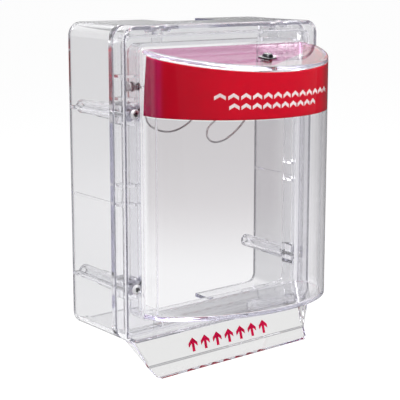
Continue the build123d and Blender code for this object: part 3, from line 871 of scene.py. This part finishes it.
def nutForm(look):
    # a hexagon whose corners are chamfered by a cone at both ends, with a threaded bore
    columns = look["columns"]
    angle = np.linspace(0, 2 * np.pi, columns, endpoint=False)
    sector = (angle % (np.pi / 3)) - np.pi / 6
    hexRadius = look["flats"] / 2 / np.cos(sector)
    circle = look["flats"] / 2 * 1.02
    rows, heights = [], []
    boreRows = int(look["thick"] / look["pitch"] * 8)
    for height in np.linspace(look["thick"] * 0.04, look["thick"] * 0.96, boreRows):
        turns = (height / look["pitch"] + angle / (2 * np.pi)) % 1.0
        rows.append(look["bore"] * (1 + 0.06 * (1 - abs(2 * turns - 1))))
        heights.append(np.full(columns, height))
    for flatRadius, height in ((look["bore"] * 1.16, look["thick"]), (circle * 0.96, look["thick"])):
        rows.append(np.full(columns, flatRadius))
        heights.append(np.full(columns, height))
    drop = (hexRadius - circle * 0.96) * math.tan(math.radians(30))
    rows.append(hexRadius)
    heights.append(look["thick"] - drop)
    rows.append(hexRadius)
    heights.append(drop)
    for flatRadius, height in ((circle * 0.96, 0.0), (look["bore"] * 1.16, 0.0)):
        rows.append(np.full(columns, flatRadius))
        heights.append(np.full(columns, height))
    radius, height = np.array(rows), np.array(heights)
    grid = np.stack([radius * np.cos(angle), radius * np.sin(angle), height], axis=-1)
    quads = ringFaces(len(rows), columns, 0, True)
    return grid.reshape(-1, 3), quads[:, ::-1], np.zeros((0, 3), int)


capUnder = capPoint - capUp * wall
ringThick = 0.8 * mm
topNutSet = {"flats": 7.0 * mm, "thick": 3.2 * mm, "bore": 2.02 * mm, "pitch": 0.8 * mm, "columns": 96}
topNutPlace = capUnder - capUp * ringThick
topNut = meshPiece("topNut", *placed(nutForm(topNutSet), topNutPlace, (1, 0, 0), -capUp), smooth=False)
dress(topNut, metals["screwSteel"], "cover", ["top_nut"])
anchorNutSet = {"flats": 5.5 * mm, "thick": 2.4 * mm, "bore": 1.52 * mm, "pitch": 0.5 * mm, "columns": 96}
anchorNutPlace = anchorPlace + np.array([ringThick, 0, 0])
anchorNut = meshPiece(
    "anchorNut", *placed(nutForm(anchorNutSet), anchorNutPlace, (0, 0, -1), (1, 0, 0)), smooth=False)
dress(anchorNut, metals["screwSteel"], "base", ["anchor_nut"])
print("stage: washer and nuts")


# Ring terminals
terminalSet = {
    "ring": 3.9 * mm, "thick": 0.8 * mm, "tongue": 1.4 * mm, "reach": 6.0 * mm,
    "barrel": 1.5 * mm, "start": 2.0 * mm, "end": 8.4 * mm,
}


def terminalForm(look, hole):
    # ring: a flat washer; tongue: a strip that bends down; barrel: a tube with two crimp dents
    angle = np.linspace(0, 2 * np.pi, 96, endpoint=False)
    circle = look["ring"] * np.stack([np.cos(angle), np.sin(angle)], axis=1)
    ring = plateForm(circle, hole, look["thick"], 0.1 * mm)
    bend = 1.1 * mm
    straightEnd = look["reach"] - bend
    arc = np.linspace(0, np.pi / 2, 10)
    out = np.concatenate([[look["ring"] * 0.86], straightEnd + bend * np.sin(arc), [look["reach"]]])
    level = look["thick"] / 2
    drop = np.concatenate([[level], level + bend * (1 - np.cos(arc)), [look["start"] + 1.0 * mm]])
    tangent = np.gradient(np.stack([out, drop], axis=1), axis=0)
    tangent /= np.linalg.norm(tangent, axis=1)[:, None]
    normal = np.stack([-tangent[:, 1], tangent[:, 0]], axis=1)
    half = look["thick"] / 2 * 0.98
    around = np.linspace(0, 2 * np.pi, 24, endpoint=False)
    wide = np.sign(np.cos(around)) * np.abs(np.cos(around)) ** 0.35 * look["tongue"]
    deep = np.sign(np.sin(around)) * np.abs(np.sin(around)) ** 0.35 * half
    strip = np.zeros((len(out), len(around), 3))
    strip[:, :, 0] = wide[None, :]
    strip[:, :, 1] = -(out[:, None] + normal[:, 0:1] * deep[None, :])
    strip[:, :, 2] = drop[:, None] + normal[:, 1:2] * deep[None, :]
    tongue = closedGrid(strip)
    share = np.linspace(0, 1, 60)
    height = look["start"] + (look["end"] - look["start"]) * share
    dents = np.exp(-((share - 0.34) / 0.09) ** 2) + np.exp(-((share - 0.74) / 0.09) ** 2)
    flare = 1 - 0.06 * ramp(share, 0.9, 1.0) - 0.06 * ramp(-share, -0.1, 0.0)

    def pressed(radiusGrid, heightGrid, turnAngle):
        flat = np.abs(np.cos(turnAngle)) ** 2
        return radiusGrid * (1 - 0.22 * dents[:, None] * flat)

    barrel = revolved(look["barrel"] * flare, height, 40, radiusAt=pressed)
    barrel[:, :, 1] -= look["reach"]
    return joinForms([ring, tongue, closedGrid(barrel)])


coverTerminalForm = terminalForm(terminalSet, 2.05 * mm)
coverTerminal = meshPiece("coverTerminal", *placed(coverTerminalForm, capUnder, (1, 0, 0), -capUp))
dress(coverTerminal, metals["crimpMetal"], "cover", ["cover_terminal"])
anchorTerminalForm = terminalForm(terminalSet, 1.55 * mm)
anchorTerminal = meshPiece("anchorTerminal", *placed(anchorTerminalForm, anchorPlace, (0, 0, -1), (1, 0, 0)))
dress(anchorTerminal, metals["crimpMetal"], "base", ["anchor_terminal"])

print("stage: terminals and cord")

# The lift lip's print: plain arrows on the lip's web, just proud of it
lipRoot = np.array([-0.0762, -0.120])
lipCrease = np.array([-0.0825, -0.1414])
lipDown = (lipCrease - lipRoot) / np.linalg.norm(lipCrease - lipRoot)
lipOut = np.array([lipDown[1], -lipDown[0]])
arrowSet = {
    "half": 4.5 * mm, "top": 7.4 * mm, "high": 11.2 * mm, "slope": 0.95, "thick": 3.4 * mm,
    "stem": 1.35 * mm, "pitch": 12.4 * mm, "count": 7, "proud": 0.06 * mm,
}


def flatStrip(across, upper, lower):
    # a printed strip on the lip's web between two edges, given as distances down the web
    loop = np.concatenate([
        np.stack([across, upper], axis=1), np.stack([across[::-1], lower[::-1]], axis=1)])
    count = len(loop)
    layers = []
    for proud in (0.0, arrowSet["proud"]):
        foot = lipRoot[None, :] + lipDown[None, :] * loop[:, 1:2] + lipOut[None, :] * proud
        layers.append(np.stack([loop[:, 0], foot[:, 0], foot[:, 1]], axis=1))
    rim = ringFaces(2, count)
    first = np.arange(len(across) - 1)
    front = np.stack([first, first + 1, count - 2 - first, count - 1 - first], axis=1)
    quads = np.concatenate([rim, front, front[:, ::-1] + count])
    return np.concatenate(layers), quads, np.zeros((0, 3), int)


def arrowForms(centre):
    # an arrow up the lip: a folded head and a straight stem
    share = np.linspace(-1, 1, 25)
    top = arrowSet["top"] + np.abs(share) * arrowSet["half"] * arrowSet["slope"]
    head = flatStrip(centre + share * arrowSet["half"], top, top + arrowSet["thick"])
    stemTop = np.full(9, arrowSet["top"] + arrowSet["thick"] * 0.98)
    stemFoot = np.full(9, arrowSet["top"] + arrowSet["high"])
    stem = flatStrip(centre + np.linspace(-1, 1, 9) * arrowSet["stem"], stemTop, stemFoot)
    return [head, stem]


centres = (np.arange(arrowSet["count"]) - (arrowSet["count"] - 1) / 2) * arrowSet["pitch"]
arrows = [form for centre in centres for form in arrowForms(centre)]
liftArrows = meshPiece("liftArrows", *joinForms(arrows), smooth=False)
dress(liftArrows, crimsonInk, "cover")
print("stage: lip print")

# Floor and light
stageSet = {
    "floorHeight": -0.42, "floorHalf": 45.0, "floorFront": 0.7, "cells": 8,
    "glossFrom": 0.6, "glossTo": 0.95, "near": 1.2, "far": 2.6,
    "dim": 0.15, "shade": 0.1, "glow": 1.12, "share": 0.85, "diffuse": (0.86, 0.86, 0.86, 1),
}


def floorForm():
    # a level grid that starts a little in front of the cover and runs far behind it
    half, cells = stageSet["floorHalf"], stageSet["cells"]
    share = np.linspace(-1, 1, cells + 1)
    x, y = np.meshgrid(share * half, (share + 1) * half - stageSet["floorFront"], indexing="ij")
    points = np.stack([x, y, np.full_like(x, stageSet["floorHeight"])], axis=-1).reshape(-1, 3)
    row, column = np.meshgrid(np.arange(cells), np.arange(cells), indexing="ij")
    first = (row * (cells + 1) + column).ravel()
    return points, np.stack([first, first + cells + 1, first + cells + 2, first + 1], axis=1)


floor = meshPiece("floor", *floorForm(), smooth=False)


def towardsBackLeft(away, across):
    # how far a direction points to the back and left, where gloss is shown the white sweep
    return away * 0.8 - across * 0.6


def floorPaint():
    # the camera sees a white sweep, clear plastic sees one that dims with distance, and gloss sees it only
    # at the back left
    g = Graph("floorPaint")
    path = g.put("ShaderNodeLightPath")
    across, away, _ = g.parts(g.place())
    distance = g.math("SQRT", across * across + away * away)
    bearing = towardsBackLeft(away, across) / distance
    behind = g.step(bearing, stageSet["glossFrom"], stageSet["glossTo"])
    sweep = 1.0 - g.step(distance, stageSet["near"], stageSet["far"]) * stageSet["dim"]
    through = Value(g, path.outputs["Is Transmission Ray"])
    seen = g.most(Value(g, path.outputs["Is Camera Ray"]), through * sweep)
    diffuse = g.get("ShaderNodeBsdfDiffuse", {}, {"Color": stageSet["diffuse"]})
    glow = g.get("ShaderNodeEmission", {}, {"Color": (1, 1, 1, 1), "Strength": stageSet["glow"]})
    shade = g.get("ShaderNodeEmission", {}, {"Color": (1, 1, 1, 1), "Strength": stageSet["shade"]})
    white = g.get("ShaderNodeMixShader", {}, {0: seen * stageSet["share"], 1: diffuse, 2: glow})
    hidden = Value(g, path.outputs["Is Glossy Ray"]) * (1.0 - through) * (1.0 - behind)
    g.surface(g.get("ShaderNodeMixShader", {}, {0: hidden, 1: white, 2: shade}))
    return g.owner


floor.data.materials.append(floorPaint())


def studioWorld(level):
    # white all round for the camera; glass sees white that dims overhead, and gloss sees it behind
    g = Graph("studioWorld", True)
    path = g.put("ShaderNodeLightPath")
    across, away, height = g.parts(g.get("ShaderNodeTexCoord", {}, {}, "Generated"))
    sweep = 1.0 - g.step(height, level["sweepLow"], level["sweepHigh"]) * level["overhead"]
    sweep = sweep - (1.0 - g.step(abs(height), 0.0, level["skyline"])) * stageSet["dim"]
    bearing = towardsBackLeft(away, across)
    above = g.step(height, -0.02, 0.02) * g.step(bearing, level["glossFrom"], level["glossTo"])
    above = g.most(above, g.step(height, 0.12, 0.24) * g.step(away, 0.0, 0.5))
    behind = g.most(above, g.step(bearing, stageSet["glossFrom"], stageSet["glossTo"]))
    through = Value(g, path.outputs["Is Transmission Ray"])
    gloss = Value(g, path.outputs["Is Glossy Ray"]) * (1.0 - through)
    seen = g.most(Value(g, path.outputs["Is Camera Ray"]), g.most(through * sweep, gloss * behind))
    lit = g.get("ShaderNodeBackground", {}, {"Color": level["colour"], "Strength": level["strength"]})
    shown = g.get("ShaderNodeBackground", {}, {"Color": (1, 1, 1, 1), "Strength": 1.0})
    mixed = g.get("ShaderNodeMixShader", {}, {0: seen, 1: lit, 2: shown})
    finish = g.put("ShaderNodeOutputWorld")
    g.tree.links.new(mixed.socket, finish.inputs["Surface"])
    return g.owner


scene.world = studioWorld({
    "colour": (0.97, 0.97, 1.0, 1), "strength": 0.22, "sweepLow": 0.5, "sweepHigh": 0.95, "overhead": 0.5,
    "skyline": 0.25, "glossFrom": 0.1, "glossTo": 0.6})


def softLamp(name, place, aim, size, power):
    data = bpy.data.lights.new(name, "AREA")
    data.shape = "RECTANGLE"
    data.size, data.size_y = size
    data.energy = power
    lamp = bpy.data.objects.new(name, data)
    scene.collection.objects.link(lamp)
    lamp.location = place
    lamp.rotation_mode = "QUATERNION"
    lamp.rotation_quaternion = (Vector(aim) - Vector(place)).to_track_quat("-Z", "Y")
    return lamp


softLamp("keyLamp", (-0.9, -1.6, 1.7), (0, -0.06, 0), (1.4, 1.0), 52)
# the fill lamp lights the right side and is hidden from gloss rays; light through a wall still shows it
fillLamp = softLamp("fillLamp", (1.7, -1.1, 0.6), (0, -0.06, 0), (1.0, 1.4), 22)
fillLamp.visible_glossy = False
softLamp("topLamp", (0.2, 0.2, 2.0), (0, -0.06, 0), (1.6, 1.2), 34)

scene.view_settings.view_transform = "Standard"
scene.cycles.max_bounces = 96
scene.cycles.transmission_bounces = 96
scene.cycles.glossy_bounces = 96
print("stage: light")

bpy.context.view_layer.update()
